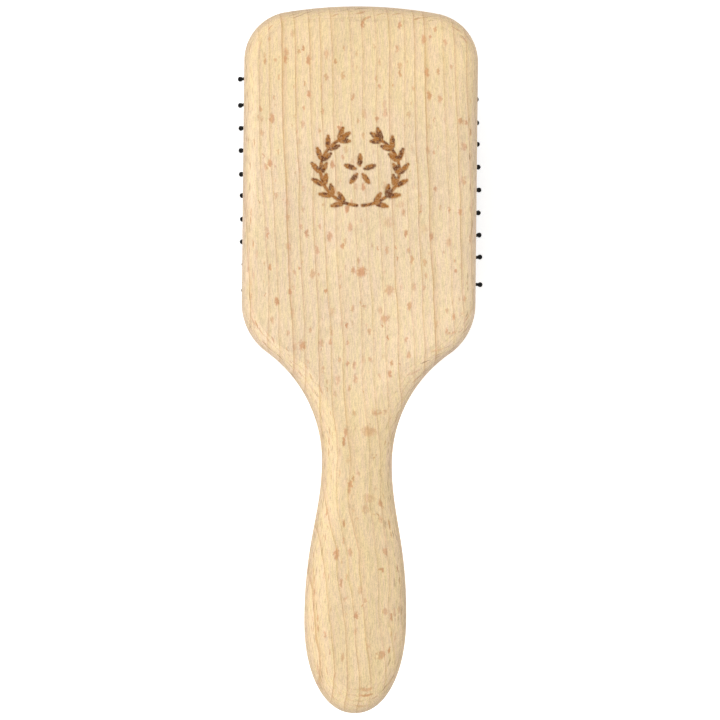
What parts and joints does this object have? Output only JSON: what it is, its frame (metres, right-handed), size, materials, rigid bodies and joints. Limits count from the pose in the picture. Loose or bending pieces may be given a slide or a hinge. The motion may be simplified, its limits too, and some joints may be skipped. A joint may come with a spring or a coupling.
{
  "type": "vanity hairbrush",
  "caption": "Wooden paddle hairbrush with a shaped grip and an air-cushioned rubber pad whose ball-tipped pins press in and lean.",
  "frame": {"origin": "middle of the brush on the plane of the pin tips, the bottom centre of its bounding box", "axes": "+Y along the brush from the grip to the head, +Z outward from the back of the head, +X across the head"},
  "size_m": [0.0872, 0.245, 0.0455],
  "materials": {
    "beech": "raw, fine-sanded beech with a satin sheen",
    "rubber": "matte black rubber",
    "cotton": "undyed cotton cloth",
    "nylon": "smooth black nylon, gloss"
  },
  "bodies": {
    "brush_body": {"wood_body": "beech", "cushion_pad": "rubber"},
    "press_carrier": {"backing_cloth": "cotton"},
    "column_1": {"pin_column_1": "nylon"},
    "column_2": {"pin_column_2": "nylon"},
    "column_3": {"pin_column_3": "nylon"},
    "column_4": {"pin_column_4": "nylon"},
    "column_5": {"pin_column_5": "nylon"},
    "column_6": {"pin_column_6": "nylon"},
    "column_7": {"pin_column_7": "nylon"},
    "column_8": {"pin_column_8": "nylon"},
    "column_9": {"pin_column_9": "nylon"}
  },
  "joints": [
    {"name": "cushion_press", "type": "slide", "parent": "brush_body", "child": "press_carrier", "axis": [0, 0, 1], "range_m": [0, 0.003], "stiffness_N_per_m": 6000, "springref_m": -0.0005, "deforming": ["cushion_pad"]},
    {"name": "column_1_lean", "type": "hinge", "parent": "press_carrier", "child": "column_1", "pos_m": [-0.0314, 0.0629, 0.0283], "axis": [0, 1, 0], "range_deg": [-10, 10], "stiffness_Nm_per_rad": 0.16},
    {"name": "column_2_lean", "type": "hinge", "parent": "press_carrier", "child": "column_2", "pos_m": [-0.02355, 0.0629, 0.0256], "axis": [0, 1, 0], "range_deg": [-10, 10], "stiffness_Nm_per_rad": 0.16},
    {"name": "column_3_lean", "type": "hinge", "parent": "press_carrier", "child": "column_3", "pos_m": [-0.0157, 0.0629, 0.0246], "axis": [0, 1, 0], "range_deg": [-10, 10], "stiffness_Nm_per_rad": 0.16},
    {"name": "column_4_lean", "type": "hinge", "parent": "press_carrier", "child": "column_4", "pos_m": [-0.00785, 0.0629, 0.0241], "axis": [0, 1, 0], "range_deg": [-10, 10], "stiffness_Nm_per_rad": 0.16},
    {"name": "column_5_lean", "type": "hinge", "parent": "press_carrier", "child": "column_5", "pos_m": [0, 0.0629, 0.0239], "axis": [0, 1, 0], "range_deg": [-10, 10], "stiffness_Nm_per_rad": 0.16},
    {"name": "column_6_lean", "type": "hinge", "parent": "press_carrier", "child": "column_6", "pos_m": [0.00785, 0.0629, 0.0241], "axis": [0, 1, 0], "range_deg": [-10, 10], "stiffness_Nm_per_rad": 0.16},
    {"name": "column_7_lean", "type": "hinge", "parent": "press_carrier", "child": "column_7", "pos_m": [0.0157, 0.0629, 0.0246], "axis": [0, 1, 0], "range_deg": [-10, 10], "stiffness_Nm_per_rad": 0.16},
    {"name": "column_8_lean", "type": "hinge", "parent": "press_carrier", "child": "column_8", "pos_m": [0.02355, 0.0629, 0.0256], "axis": [0, 1, 0], "range_deg": [-10, 10], "stiffness_Nm_per_rad": 0.16},
    {"name": "column_9_lean", "type": "hinge", "parent": "press_carrier", "child": "column_9", "pos_m": [0.0314, 0.0629, 0.0283], "axis": [0, 1, 0], "range_deg": [-10, 10], "stiffness_Nm_per_rad": 0.16}
  ]
}
